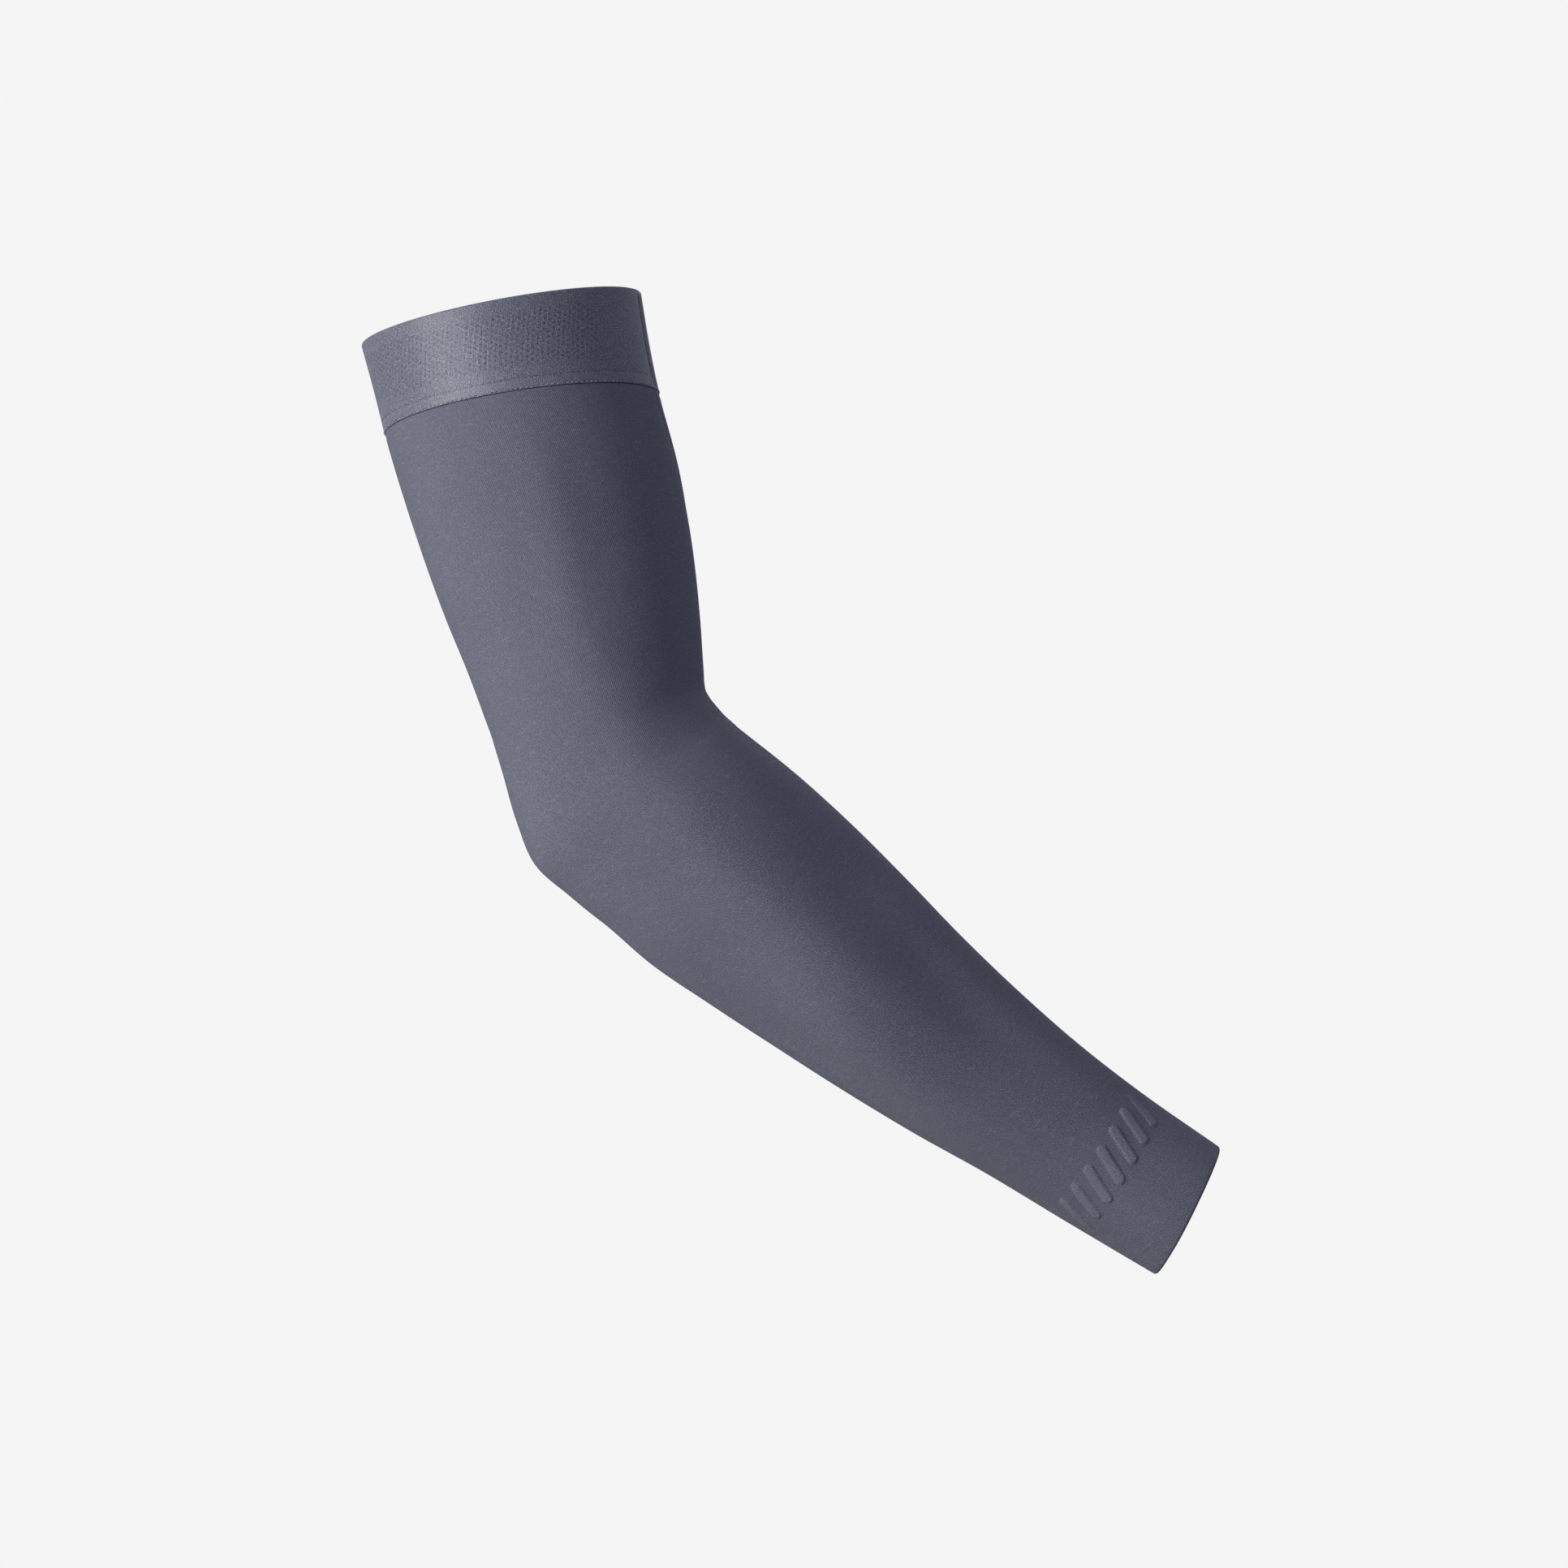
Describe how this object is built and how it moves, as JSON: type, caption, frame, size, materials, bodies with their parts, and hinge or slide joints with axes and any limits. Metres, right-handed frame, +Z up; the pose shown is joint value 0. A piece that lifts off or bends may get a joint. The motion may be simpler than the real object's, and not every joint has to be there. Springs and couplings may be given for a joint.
{
  "type": "arm warmer",
  "caption": "Stretch-knit arm warmer, bent at the elbow and open at both ends, with a dimpled elastic grip band lapped over its top and a plain rounded cuff at the wrist.",
  "frame": {"origin": "middle of the top opening, where the arm goes in", "axes": "+Z up as worn with the arm hanging and the elbow bent, +X towards the side that the forearm bends to, -Y the side that the picture shows"},
  "size_m": [0.3168, 0.098, 0.3624],
  "materials": {
    "knit": "fine lengthwise knit with a soft sheen",
    "elastic": "ribbed elastic with a field of small dimples",
    "seam_thread": "matte flat seam"
  },
  "bodies": {
    "root": {"sleeve": "knit", "grip_band": "elastic", "sleeve_seam": "seam_thread", "band_seam": "seam_thread"}
  },
  "joints": []
}
